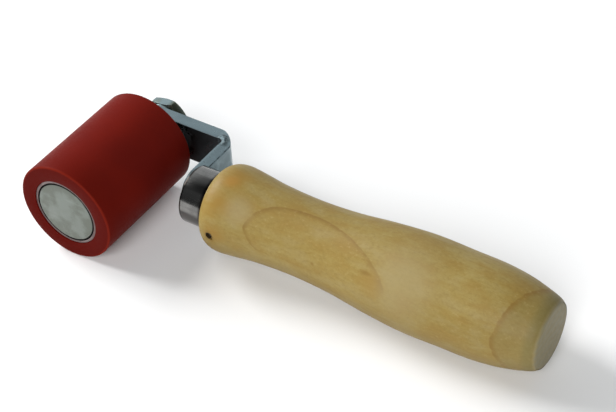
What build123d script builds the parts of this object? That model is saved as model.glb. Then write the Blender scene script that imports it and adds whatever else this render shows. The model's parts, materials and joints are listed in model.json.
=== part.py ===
from build123d import *

import math
import os

# Single-arm hand roller: a silicone sleeve on a ball-bearing core, an L-shaped
# flat-bar arm and a turned wooden handle.  All sizes are in millimetres.
#
# Tool frame used while modelling:
#   X  along the handle axis, forward from the wood shoulder (x = 0) to the roller
#   Y  along the roller axle, towards the roller's free face
#   Z  up
# rest() then pitches the tool so that roller and handle both touch the floor
# and moves the bottom centre of its bounding box to the origin.

os.makedirs("parts", exist_ok=True)

# ---------------------------------------------------------------- driving sizes
# Roller
ROLLER_WIDTH = 40.0            # length of the silicone sleeve
ROLLER_R = 16.0                # outer radius of the sleeve
AXLE_X, AXLE_Z = 38.3, -2.3    # axle position in the tool frame
NEAR_Y = 24.0                  # free face of the sleeve
FAR_Y = NEAR_Y - ROLLER_WIDTH  # arm-side face of the sleeve
SLEEVE_EDGE = 0.5              # rounded sleeve rims
CORE_R = 11.0                  # 22 mm core
CORE_RECESS = 0.3              # core ends sit this far inside the sleeve ends
SEAT_R = 9.5                   # bore for the 19 mm bearings
CORE_LAND_R = 8.4              # smaller bore between the two seats
CAP_POCKET_R, CAP_POCKET_DEPTH = 10.12, 1.5
CAP_R, CAP_THICK = 9.76, 1.3   # flat disc that closes the free end
CAP_SKIRT = 2.4                # length of the skirt pressed into the bore
CAP_SKIRT_WALL = 1.0
CAP_FACE_Y = NEAR_Y - 0.25

# 698-size deep-groove bearings
BRG_BORE_R, BRG_OUTER_R, BRG_WIDTH = 4.0, 9.5, 6.0
BRG_INNER_LAND, BRG_OUTER_LAND = 5.5, 8.0
BALL_R, BALL_COUNT, PITCH_R = 1.5875, 8, 6.75
GROOVE_R = 1.65                # groove profile radius, a little over the ball's
RACE_GAP = 0.02                # clearance between a ball and each groove bottom
CAGE_IN_R, CAGE_OUT_R, CAGE_HALF = 6.15, 7.35, 2.0
POCKET_GAP = 0.06
SHIELD_THICK, SHIELD_INSET = 0.3, 0.2
SHIELD_R, SHIELD_HOLE_R = 8.6, 5.85
NEAR_BRG_Y = 12.0              # centre of the bearing at the free end
FAR_BRG_Y = -12.06             # centre of the bearing at the arm end

# Axle: M8 x 45 hexagon bolt, its head inside the core
SHANK_R = 3.99
BOLT_LENGTH = 45.0
HEX_AF = 13.0
HEAD_HEIGHT = 5.3
SPACER_BORE, SPACER_R = 4.05, 5.4
HEAD_SPACER = 1.0
WASHER_R, WASHER_THICK = 6.4, 0.8
NUT_HEIGHT = 3.8
NUT_TURN = 8.0                 # where the nut stopped when it was tightened, in degrees

# Arm: 13 x 4 flat bar bent once through a right angle
BAR_T, BAR_B = 4.0, 13.0
ARM_OUTER_Y = -24.0            # outer face of the forward leg
ARM_BACK_X = 8.6               # rear face of the cross leg, against the ferrule
ARM_ROUND_Y = -4.4             # centre of the rounded end behind the ferrule
BEND_IN_R, BEND_OUT_R = 2.6, 7.6
ARM_HOLE_R = 4.1

# Ferrule, tang and pin
FERRULE_R, FERRULE_WALL = 8.65, 1.0
TANG_R, TANG_END_X, TANG_POINT = 3.0, -58.0, 7.0
PIN_X, PIN_R = -5.15, 1.1
PIN_TOP_Y, PIN_BOTTOM_Y = 12.0, -7.0

# Handle
HANDLE_L = 105.0
TENON_END_X = 8.2              # the tenon stops just short of the arm
# (distance behind the shoulder, radius) along the turned profile
HANDLE_PROFILE = [
    (0.0, 9.9), (0.45, 11.2), (1.4, 12.1), (3.0, 12.85), (5.3, 13.15),
    (10.0, 12.75), (17.4, 11.85), (29.5, 11.33), (41.6, 11.82), (53.6, 13.15),
    (65.7, 14.04), (77.8, 13.85), (87.0, 13.65), (94.5, 12.75), (100.5, 11.3),
    (103.7, 10.2), (105.0, 9.3),
]


# ---------------------------------------------------------------- helpers
def axle_cylinder(radius, y_low, y_high):
    """Solid cylinder on the axle between two Y values."""
    middle = (y_low + y_high) / 2
    return Pos(AXLE_X, middle, AXLE_Z) * Rot(90, 0, 0) * Cylinder(radius, y_high - y_low)


def axle_tube(outer, inner, y_low, y_high):
    """Tube on the axle between two Y values."""
    return axle_cylinder(outer, y_low, y_high) - axle_cylinder(inner, y_low - 1, y_high + 1)


def handle_cylinder(radius, x_low, x_high):
    """Solid cylinder on the handle axis between two X values."""
    return Pos((x_low + x_high) / 2, 0, 0) * Rot(0, 90, 0) * Cylinder(radius, x_high - x_low)


def hexagon(y_low, y_high, chamfer_low, chamfer_high, turn):
    """Hexagonal prism on the axle with 30 degree corner chamfers."""
    height = y_high - y_low
    corner = HEX_AF / 2 / math.cos(math.radians(30))
    prism = extrude(RegularPolygon(corner, 6, rotation=turn), height)
    drop = (corner - HEX_AF / 2 * 0.95) * math.tan(math.radians(30))
    flat = HEX_AF / 2 * 0.95
    with BuildPart() as envelope:
        with BuildSketch(Plane.XZ):
            with BuildLine():
                Polyline(
                    (0, 0),
                    (flat if chamfer_low else corner, 0),
                    (corner, drop if chamfer_low else 0.01),
                    (corner, height - (drop if chamfer_high else 0.01)),
                    (flat if chamfer_high else corner, height),
                    (0, height),
                    close=True,
                )
            make_face()
        revolve(axis=Axis.Z)
    body = prism & envelope.part
    return Pos(AXLE_X, y_low, AXLE_Z) * Rot(-90, 0, 0) * body


# ---------------------------------------------------------------- roller
def silicone_sleeve():
    """Moulded sleeve with rounded rims."""
    tube = axle_tube(ROLLER_R, CORE_R, FAR_Y, NEAR_Y)
    rims = [e for e in tube.edges().filter_by(GeomType.CIRCLE) if e.radius > ROLLER_R - 0.01]
    return fillet(rims, SLEEVE_EDGE)


def roller_core():
    """Turned core with a bearing seat at each end and a pocket for the cap."""
    low, high = FAR_Y + CORE_RECESS, NEAR_Y - CORE_RECESS
    core = axle_cylinder(CORE_R, low, high)
    core -= axle_cylinder(CORE_LAND_R, low - 1, high + 1)
    core -= axle_cylinder(SEAT_R, NEAR_BRG_Y - BRG_WIDTH / 2, high + 1)
    core -= axle_cylinder(SEAT_R, low - 1, FAR_BRG_Y + BRG_WIDTH / 2)
    core -= axle_cylinder(CAP_POCKET_R, high - CAP_POCKET_DEPTH, high + 1)
    return core


def end_cap():
    """Flat disc with a skirt pressed into the core's bore."""
    back = CAP_FACE_Y - CAP_THICK
    disc = axle_cylinder(CAP_R, back, CAP_FACE_Y)
    rim = [e for e in disc.edges().filter_by(GeomType.CIRCLE) if e.center().Y > back + 0.5]
    disc = fillet(rim, 0.25)
    return disc + axle_tube(SEAT_R, SEAT_R - CAP_SKIRT_WALL, back - CAP_SKIRT, back)


def groove(profile_centre_r, y_centre):
    """Torus that cuts a ball groove."""
    return Pos(AXLE_X, y_centre, AXLE_Z) * Rot(90, 0, 0) * Torus(profile_centre_r, GROOVE_R)


def inner_ring(y_centre):
    """Inner bearing ring with its ball groove."""
    half = BRG_WIDTH / 2
    ring = axle_tube(BRG_INNER_LAND, BRG_BORE_R, y_centre - half, y_centre + half)
    return ring - groove(PITCH_R - BALL_R - RACE_GAP + GROOVE_R, y_centre)


def outer_ring(y_centre):
    """Outer bearing ring with its ball groove and two shield recesses."""
    half = BRG_WIDTH / 2
    ring = axle_tube(BRG_OUTER_R, BRG_OUTER_LAND, y_centre - half, y_centre + half)
    ring -= groove(PITCH_R + BALL_R + RACE_GAP - GROOVE_R, y_centre)
    depth = SHIELD_THICK + SHIELD_INSET
    ring -= axle_cylinder(SHIELD_R, y_centre + half - depth, y_centre + half + 1)
    ring -= axle_cylinder(SHIELD_R, y_centre - half - 1, y_centre - half + depth)
    return ring


def shield(y_centre, side):
    """Thin annular shield set into the outer ring; side is +1 or -1."""
    face = y_centre + side * (BRG_WIDTH / 2 - SHIELD_INSET)
    back = face - side * SHIELD_THICK
    return axle_tube(SHIELD_R, SHIELD_HOLE_R, min(face, back), max(face, back))


def ball_places(y_centre):
    """Ball centres of one bearing."""
    for i in range(BALL_COUNT):
        angle = 2 * math.pi * i / BALL_COUNT
        yield (AXLE_X + PITCH_R * math.cos(angle), y_centre, AXLE_Z + PITCH_R * math.sin(angle))


def balls(y_centre):
    """The eight identical balls of one bearing."""
    return Compound(children=[Pos(*place) * Sphere(BALL_R) for place in ball_places(y_centre)])


def cage(y_centre):
    """Ring with a pocket round every ball."""
    ring = axle_tube(CAGE_OUT_R, CAGE_IN_R, y_centre - CAGE_HALF, y_centre + CAGE_HALF)
    for i in range(BALL_COUNT):
        pocket = Pos(PITCH_R, 0, 0) * Rot(0, 90, 0) * Cylinder(BALL_R + POCKET_GAP, 4.0)
        ring -= Pos(AXLE_X, y_centre, AXLE_Z) * Rot(0, -360 * i / BALL_COUNT, 0) * pocket
    return ring


# ---------------------------------------------------------------- axle stack
def head_under_y():
    """Y of the underside of the bolt head."""
    return NEAR_BRG_Y + BRG_WIDTH / 2 + HEAD_SPACER


def axle_bolt():
    """Hexagon bolt through bearings, spacers and arm."""
    under = head_under_y()
    end = under - BOLT_LENGTH
    shank = axle_cylinder(SHANK_R, end, under + 0.5)
    tip = [e for e in shank.edges().filter_by(GeomType.CIRCLE) if e.center().Y < end + 0.1]
    shank = chamfer(tip, 0.8)
    return shank + hexagon(under, under + HEAD_HEIGHT, False, True, 0)


def spacer(y_low, y_high):
    """Plain tube on the shank that presses only on inner rings."""
    return axle_tube(SPACER_R, SPACER_BORE, y_low, y_high)


def arm_washer():
    """Washer between the arm and the nut."""
    return axle_tube(WASHER_R, SHANK_R + 0.06, ARM_OUTER_Y - WASHER_THICK, ARM_OUTER_Y)


def axle_nut():
    """Thin hexagon nut on the outside of the arm, chamfered on both sides."""
    high = ARM_OUTER_Y - WASHER_THICK
    low = high - NUT_HEIGHT
    return hexagon(low, high, True, True, NUT_TURN) - axle_cylinder(SHANK_R, low - 1, high + 1)


# ---------------------------------------------------------------- arm and handle
def arm():
    """Flat bar: cross leg behind the roller, one bend, forward leg to the axle."""
    back, front = ARM_BACK_X, ARM_BACK_X + BAR_T
    outer, inner = ARM_OUTER_Y, ARM_OUTER_Y + BAR_T
    half = BAR_B / 2
    reach = AXLE_X + half
    end_y = ARM_ROUND_Y + half
    with BuildPart() as bar:
        with BuildSketch(Plane.XY.offset(AXLE_Z - half)):
            with BuildLine():
                Polyline((back, outer), (reach, outer), (reach, inner), (front, inner),
                         (front, end_y), (back, end_y), close=True)
            make_face()
        extrude(amount=BAR_B)
    part = bar.part
    upright = part.edges().filter_by(Axis.Z)
    inner_edge = upright.sort_by(lambda e: math.hypot(e.center().X - front, e.center().Y - inner))[0]
    part = fillet([inner_edge], BEND_IN_R)
    upright = part.edges().filter_by(Axis.Z)
    outer_edge = upright.sort_by(lambda e: math.hypot(e.center().X - back, e.center().Y - outer))[0]
    part = fillet([outer_edge], BEND_OUT_R)
    # both ends are rounded over the full width of the bar
    ends = Pos(0, 0, 0) * part
    keep_front = (Pos((back + AXLE_X) / 2, (outer + inner) / 2, AXLE_Z)
                  * Box(AXLE_X - back, 80, 200))
    keep_front += axle_cylinder(half, outer - 5, end_y + 5)
    ends = ends & keep_front
    keep_cross = Pos(AXLE_X, ARM_ROUND_Y - 100, AXLE_Z) * Box(200, 200, 200)
    keep_cross += (Pos((back + front) / 2, ARM_ROUND_Y, AXLE_Z)
                   * Rot(0, 90, 0) * Cylinder(half, 4 * BAR_T))
    ends = ends & keep_cross
    return ends - axle_cylinder(ARM_HOLE_R, outer - 1, inner + 1)


def ferrule():
    """Short steel tube over the handle's tenon."""
    tube = handle_cylinder(FERRULE_R, 0, ARM_BACK_X)
    tube -= handle_cylinder(FERRULE_R - FERRULE_WALL, -1, ARM_BACK_X + 1)
    rims = [e for e in tube.edges().filter_by(GeomType.CIRCLE) if e.radius > FERRULE_R - 0.01]
    return fillet(rims, 0.25)


def pin_hole():
    """Blind cross hole through wood and tang."""
    length = 40.0
    return (Pos(PIN_X, PIN_BOTTOM_Y + length / 2, 0) * Rot(90, 0, 0)
            * Cylinder(PIN_R, length))


def tang():
    """Pointed round tang welded to the arm and driven into the handle."""
    with BuildPart() as rod:
        with BuildSketch(Plane.XZ):
            with BuildLine():
                Polyline((ARM_BACK_X, 0), (ARM_BACK_X, TANG_R), (TANG_END_X + TANG_POINT, TANG_R),
                         (TANG_END_X, 0.6), (TANG_END_X, 0), close=True)
            make_face()
        revolve(axis=Axis.X)
    return rod.part - pin_hole()


def locking_pin():
    """Pin that stops the tang from pulling out, sunk below the wood surface."""
    length = PIN_TOP_Y - PIN_BOTTOM_Y
    return (Pos(PIN_X, (PIN_TOP_Y + PIN_BOTTOM_Y) / 2, 0) * Rot(90, 0, 0)
            * Cylinder(PIN_R, length))


def handle():
    """Turned wooden handle with a tenon, a tang bore and a cross hole."""
    tenon_r = FERRULE_R - FERRULE_WALL
    points = [(-s, r) for s, r in HANDLE_PROFILE]
    with BuildPart() as wood:
        with BuildSketch(Plane.XY):
            with BuildLine():
                Polyline((-HANDLE_L, points[-1][1]), (-HANDLE_L, 0), (TENON_END_X, 0),
                         (TENON_END_X, tenon_r), (0, tenon_r), points[0])
                Spline(*points[:5], tangents=[(-0.25, 1), (-1, 0.02)])
                Spline(*points[4:], tangents=[(-1, 0.02), (-0.35, -1)])
            make_face()
        revolve(axis=Axis.X)
    bore = handle_cylinder(TANG_R, TANG_END_X - 0.5, TENON_END_X + 1)
    return wood.part - bore - pin_hole()


# ---------------------------------------------------------------- rest pose
def rest_pitch():
    """Pitch in degrees that puts roller and handle on one flat floor."""
    low, high = 0.0, 10.0
    for _ in range(60):
        angle = math.radians((low + high) / 2)
        s, c = math.sin(angle), math.cos(angle)
        roller = AXLE_X * s + AXLE_Z * c - ROLLER_R
        wood = min(-d * s - r * c for d, r in HANDLE_PROFILE)
        if roller < wood:
            low = (low + high) / 2
        else:
            high = (low + high) / 2
    return (low + high) / 2


PITCH = rest_pitch()


def rest(shapes):
    """Pitch every shape and put the bottom centre of the whole at the origin."""
    turned = {name: Rot(0, -PITCH, 0) * shape for name, shape in shapes.items()}
    box = Compound(children=[Pos(0, 0, 0) * s for s in turned.values()]).bounding_box()
    move = Pos(-(box.min.X + box.max.X) / 2, -(box.min.Y + box.max.Y) / 2, -box.min.Z)
    return {name: move * shape for name, shape in turned.items()}, move


def build():
    """Every node of the assembly in the tool frame."""
    seat = BRG_WIDTH / 2
    nodes = {
        "handle": handle(),
        "ferrule": ferrule(),
        "tang": tang(),
        "locking_pin": locking_pin(),
        "arm": arm(),
        "axle_bolt": axle_bolt(),
        "head_spacer": spacer(NEAR_BRG_Y + seat, head_under_y()),
        "bearing_spacer": spacer(FAR_BRG_Y + seat, NEAR_BRG_Y - seat),
        "arm_spacer": spacer(ARM_OUTER_Y + BAR_T, FAR_BRG_Y - seat),
        "arm_washer": arm_washer(),
        "axle_nut": axle_nut(),
        "silicone_sleeve": silicone_sleeve(),
        "roller_core": roller_core(),
        "end_cap": end_cap(),
    }
    for name, y in (("near", NEAR_BRG_Y), ("far", FAR_BRG_Y)):
        nodes[f"{name}_inner_ring"] = inner_ring(y)
        nodes[f"{name}_outer_ring"] = outer_ring(y)
        nodes[f"{name}_shield_free_side"] = shield(y, 1)
        nodes[f"{name}_shield_arm_side"] = shield(y, -1)
        nodes[f"{name}_balls"] = balls(y)
        nodes[f"{name}_cage"] = cage(y)
    return nodes


placed, MOVE = rest(build())
for node, shape in placed.items():
    export_step(shape, f"parts/{node}.step")
    box = shape.bounding_box()
    print(f"{node:26s} {box.min.X:8.2f} {box.min.Y:8.2f} {box.min.Z:8.2f}"
          f" {box.max.X:8.2f} {box.max.Y:8.2f} {box.max.Z:8.2f}  vol {shape.volume:9.2f}")

angle = math.radians(PITCH)
axle = (AXLE_X * math.cos(angle) - AXLE_Z * math.sin(angle) + MOVE.position.X, MOVE.position.Y,
        AXLE_X * math.sin(angle) + AXLE_Z * math.cos(angle) + MOVE.position.Z)
print("pitch", round(PITCH, 4), "move", MOVE.position, "axle", [round(v, 4) for v in axle])
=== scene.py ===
"""Looks of a single-arm hand roller: silicone roller, bent zinc arm, steel ferrule, birch handle.

Every piece is modelled in the tool frame in millimetres: X along the handle's axis, forward from the
wood shoulder at x = 0; Y along the axle, towards the roller's free face; Z up. Rest.place() then pitches
it so that roller and handle stand on one flat floor, which is where the fixed frame has it.
"""

import json
import logging
import math
from collections.abc import Callable, Iterable, Mapping, Sequence
from dataclasses import dataclass
from enum import Enum
from functools import partial

import bmesh
import bpy
from mathutils import Matrix, Vector

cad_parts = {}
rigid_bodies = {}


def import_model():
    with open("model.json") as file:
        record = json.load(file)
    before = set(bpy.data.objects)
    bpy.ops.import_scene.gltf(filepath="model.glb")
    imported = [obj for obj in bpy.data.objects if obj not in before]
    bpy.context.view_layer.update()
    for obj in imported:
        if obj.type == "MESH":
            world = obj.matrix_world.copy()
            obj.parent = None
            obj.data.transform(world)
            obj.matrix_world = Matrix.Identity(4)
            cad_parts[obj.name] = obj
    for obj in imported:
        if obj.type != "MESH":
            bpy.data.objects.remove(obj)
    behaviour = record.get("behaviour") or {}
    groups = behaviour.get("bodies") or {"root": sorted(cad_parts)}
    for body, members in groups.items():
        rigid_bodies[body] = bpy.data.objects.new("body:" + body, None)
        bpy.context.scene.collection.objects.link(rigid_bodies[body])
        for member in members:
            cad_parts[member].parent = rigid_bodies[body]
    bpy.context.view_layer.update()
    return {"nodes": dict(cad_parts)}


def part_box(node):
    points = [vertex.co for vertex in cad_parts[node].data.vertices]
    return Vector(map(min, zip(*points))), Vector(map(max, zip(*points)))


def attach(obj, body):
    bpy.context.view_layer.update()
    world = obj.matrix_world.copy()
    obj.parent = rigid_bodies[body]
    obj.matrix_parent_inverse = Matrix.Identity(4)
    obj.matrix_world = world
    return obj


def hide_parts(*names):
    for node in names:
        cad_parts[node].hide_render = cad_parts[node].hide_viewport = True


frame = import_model()

MM = 0.001
log = logging.getLogger("hand_roller")

Colour = tuple[float, float, float]
Outline = Sequence[tuple[float, float]]
Spot = tuple[float, float, float]
Socket = bpy.types.NodeSocket
Value = Socket | float
Coat = tuple[Socket, float, Socket | Colour]
Test = Callable[[Vector, Vector], bool]


class Spindle(Enum):
    """The two lines that round pieces are turned about."""

    HANDLE = "x"
    AXLE = "y"


class Body(Enum):
    """The moving bodies that pieces ride on."""

    TOOL = "tool"
    ROLLER = "roller"


class Slot(Enum):
    """Material slots of the record."""

    BIRCH = "birch"
    FERRULE = "ferrule_steel"
    BAR = "zinc_bar"
    FASTENER = "zinc_fastener"
    BEARING = "bearing_steel"
    SHIELD = "shield_steel"
    SILICONE = "red_silicone"
    CORE = "core_aluminium"
    CAP = "cap_metal"
    TANG = "tang_steel"


@dataclass(frozen=True)
class Rest:
    """Where the tool frame lies in the shared frame.

    Attributes:
        pitch: Turn about Y in degrees that rests roller and handle on the floor.
        move: Place of the tool frame's origin, in millimetres.
        axle_x: Axle's X in the tool frame.
        axle_z: Axle's Z in the tool frame.
    """

    pitch: float = 2.1304
    move: Spot = (25.4571, 2.5, 16.8957)
    axle_x: float = 38.3
    axle_z: float = -2.3

    def matrix(self) -> Matrix:
        """Tool frame to shared frame, in metres."""
        turn = Matrix.Rotation(math.radians(-self.pitch), 4, "Y")
        return Matrix.Translation(Vector(self.move) * MM) @ turn

    def place(self, piece: bpy.types.Object) -> None:
        """Moves a finished piece to its rest place and leaves its object at the origin.

        Args:
            piece: Object whose mesh is in the tool frame.
        """
        pick_only(piece)
        piece.matrix_world = self.matrix()
        bpy.ops.object.transform_apply(location=True, rotation=True, scale=True)

    def check(self) -> None:
        """Reports how far the axle is from the sleeve's own box."""
        low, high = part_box("silicone_sleeve")
        axle = self.matrix() @ (Vector((self.axle_x, 0, self.axle_z)) * MM)
        off = ((low + high) / 2 - axle) * 1000
        log.info("axle is %.3f mm off in X and %.3f mm off in Z", off.x, off.z)


REST = Rest()


# ------------------------------------------------------------------ modelling
def pick_only(piece: bpy.types.Object) -> None:
    """Makes one object the only selected and the active one.

    Args:
        piece: Object to select.
    """
    clear_choice()
    piece.select_set(True)
    bpy.context.view_layer.objects.active = piece


def clear_choice() -> None:
    """Deselects every object."""
    for other in bpy.context.view_layer.objects:
        other.select_set(False)


def named(name: str) -> bpy.types.Object:
    """Names the newest primitive and bakes its place into its mesh.

    Args:
        name: Piece name.

    Returns:
        The object.
    """
    piece = bpy.context.object
    piece.name = piece.data.name = name
    bpy.ops.object.transform_apply(location=True, rotation=True, scale=True)
    return piece


def choose(piece: bpy.types.Object, kind: str, where: Test) -> int:
    """Selects parts of the mesh in edit mode by their place and normal.

    Args:
        piece: Object that is in edit mode.
        kind: "verts", "edges" or "faces".
        where: Says yes for a place in millimetres and a normal; an edge is tested at its middle.

    Returns:
        How many were selected.
    """
    bpy.ops.mesh.select_mode(type={"verts": "VERT", "edges": "EDGE", "faces": "FACE"}[kind])
    bpy.ops.mesh.select_all(action="DESELECT")
    mesh = bmesh.from_edit_mesh(piece.data)
    mesh.normal_update()
    count = 0
    for part in getattr(mesh, kind):
        if kind == "verts":
            spot, normal = part.co, part.normal
        elif kind == "faces":
            spot, normal = part.calc_center_median(), part.normal
        else:
            a, b = part.verts
            spot, normal = (a.co + b.co) / 2, (b.co - a.co).normalized()
        if where(spot * 1000, normal):
            part.select_set(True)
            count += 1
    mesh.select_flush_mode()
    bmesh.update_edit_mesh(piece.data)
    return count


def nudge(piece: bpy.types.Object, where: Test, by: Spot | Vector) -> None:
    """Moves chosen vertices in edit mode.

    Args:
        piece: Object that is in edit mode.
        where: Chooses vertices by place in millimetres and normal.
        by: Move in millimetres.
    """
    if choose(piece, "verts", where):
        bpy.ops.transform.translate(value=Vector(by) * MM)


def rod(
    name: str, sides: int, radius: float, length: float, middle: Spot, turn: float = 0.0
) -> bpy.types.Object:
    """Adds a rod that runs the way the axle runs.

    Args:
        name: Piece name.
        sides: Vertices in a ring.
        radius: Radius in millimetres.
        length: Length in millimetres.
        middle: Its middle in millimetres.
        turn: Degrees about its own line.

    Returns:
        The rod.
    """
    clear_choice()
    bpy.ops.mesh.primitive_cylinder_add(
        vertices=sides,
        radius=radius * MM,
        depth=length * MM,
        location=Vector(middle) * MM,
        rotation=(math.pi / 2, math.radians(turn), 0),
    )
    return named(name)


def extrude(by: Vector) -> None:
    """Extrudes the selection in edit mode.

    Args:
        by: Move in millimetres.
    """
    bpy.ops.mesh.extrude_region_move(TRANSFORM_OT_translate={"value": by * MM})


def knit() -> None:
    """Joins doubled vertices, turns every face outward and leaves edit mode."""
    bpy.ops.mesh.select_all(action="SELECT")
    bpy.ops.mesh.remove_doubles(threshold=1e-6)
    bpy.ops.mesh.normals_make_consistent(inside=False)
    bpy.ops.object.mode_set(mode="OBJECT")


def turned(
    name: str, outline: Outline, spindle: Spindle, closed: bool = False, sides: int = 128
) -> bpy.types.Object:
    """Turns a piece on a spindle from its outline, ring by ring.

    Args:
        name: Piece name.
        outline: (place along the spindle, radius) pairs in millimetres.
        spindle: Line that the piece is turned about.
        closed: True where the outline runs round a hollow piece and ends where it starts; False
            where both ends are discs.
        sides: Vertices in a ring.

    Returns:
        The object, with flat shading.
    """
    along, radius = outline[0]
    on_handle = spindle is Spindle.HANDLE

    def spot(place: float) -> Vector:
        """Spindle point in millimetres."""
        return Vector((place, 0, 0) if on_handle else (REST.axle_x, place, REST.axle_z))

    clear_choice()
    bpy.ops.mesh.primitive_circle_add(
        vertices=sides,
        radius=radius * MM,
        fill_type="NOTHING" if closed else "NGON",
        location=spot(along) * MM,
        rotation=(0, math.pi / 2, 0) if on_handle else (math.pi / 2, 0, 0),
    )
    piece = named(name)
    bpy.ops.object.mode_set(mode="EDIT")
    bpy.ops.mesh.select_all(action="SELECT")
    steps = list(outline[1:]) + ([outline[0]] if closed else [])
    for place, size in steps:
        extrude(spot(place) - spot(along))
        if abs(size - radius) > 1e-6:
            k = size / radius
            swell = (1, k, k) if on_handle else (k, 1, k)
            bpy.ops.transform.resize(value=swell, center_override=spot(place) * MM)
        along, radius = place, size
    knit()
    return piece


def from_axis(spot: Vector, spindle: Spindle) -> tuple[float, float]:
    """Place along a spindle and distance from it.

    Args:
        spot: Point in millimetres in the tool frame.
        spindle: Line to measure from.

    Returns:
        (place along, distance from) in millimetres.
    """
    if spindle is Spindle.HANDLE:
        return spot.x, math.hypot(spot.y, spot.z)
    return spot.y, math.hypot(spot.x - REST.axle_x, spot.z - REST.axle_z)


def round_rims(
    piece: bpy.types.Object, spindle: Spindle, rims: Outline, size: float, segments: int = 4
) -> None:
    """Rounds circular rims of a turned piece.

    Args:
        piece: Turned object.
        spindle: Line that it was turned about.
        rims: (place along, radius) of each rim in millimetres.
        size: Width of the rounding in millimetres.
        segments: Faces across the rounding.
    """
    pick_only(piece)
    bpy.ops.object.mode_set(mode="EDIT")

    def on_rim(spot: Vector, run: Vector) -> bool:
        """True at the middle of a rim's edge."""
        place, distance = from_axis(spot, spindle)
        return any(abs(place - a) < 0.02 and abs(distance - r) < 0.03 for a, r in rims)

    choose(piece, "edges", on_rim)
    bpy.ops.mesh.bevel(offset=size * MM, segments=segments, affect="EDGES")
    bpy.ops.object.mode_set(mode="OBJECT")


def apply_modifier(piece: bpy.types.Object, kind: str, **settings: object) -> None:
    """Adds a modifier, sets it and applies it.

    Args:
        piece: Object to change.
        kind: Modifier type.
        **settings: Its properties.
    """
    pick_only(piece)
    step = piece.modifiers.new(kind.lower(), kind)
    for key, value in settings.items():
        setattr(step, key, value)
    bpy.ops.object.modifier_apply(modifier=step.name)


def cut(piece: bpy.types.Object, cutter: bpy.types.Object, how: str = "DIFFERENCE") -> None:
    """Cuts a piece with another and throws the cutter away.

    Args:
        piece: Object that stays.
        cutter: Object that goes.
        how: Boolean operation.
    """
    apply_modifier(piece, "BOOLEAN", operation=how, solver="EXACT", object=cutter)
    bpy.data.objects.remove(cutter)


def finished(piece: bpy.types.Object, finish: "Finish", degrees: float = 32) -> bpy.types.Object:
    """Shades a piece smooth with sharp edges above an angle, and lays its finish on.

    Args:
        piece: Object to shade.
        finish: Finish to lay on.
        degrees: Angle above which an edge stays sharp.

    Returns:
        The piece.
    """
    pick_only(piece)
    bpy.ops.object.shade_smooth_by_angle(angle=math.radians(degrees))
    finish.dress(piece)
    return piece


def flowing(points: Outline, pieces: int) -> list[tuple[float, float]]:
    """Runs a smooth line through the points of an outline.

    Args:
        points: (place, radius) pairs.
        pieces: Steps between one point and the next.

    Returns:
        The points with the steps between them.
    """
    line = [points[0]]
    for i in range(len(points) - 1):
        p1, p2 = Vector(points[i]), Vector(points[i + 1])
        p0 = Vector(points[i - 1]) if i else p1 * 2 - p2
        p3 = Vector(points[i + 2]) if i + 2 < len(points) else p2 * 2 - p1
        d1, d2, d3 = ((b - a).length ** 0.5 for a, b in ((p0, p1), (p1, p2), (p2, p3)))
        m1 = (p1 - p0) / d1 - (p2 - p0) / (d1 + d2) + (p2 - p1) / d2
        m2 = (p2 - p1) / d2 - (p3 - p1) / (d2 + d3) + (p3 - p2) / d3
        for k in range(1, pieces + 1):
            t = k / pieces
            a = 2 * t**3 - 3 * t**2 + 1
            b = t**3 - 2 * t**2 + t
            c = -2 * t**3 + 3 * t**2
            d = t**3 - t**2
            point = p1 * a + m1 * (b * d2) + p2 * c + m2 * (d * d2)
            line.append((point.x, point.y))
    return line


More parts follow.
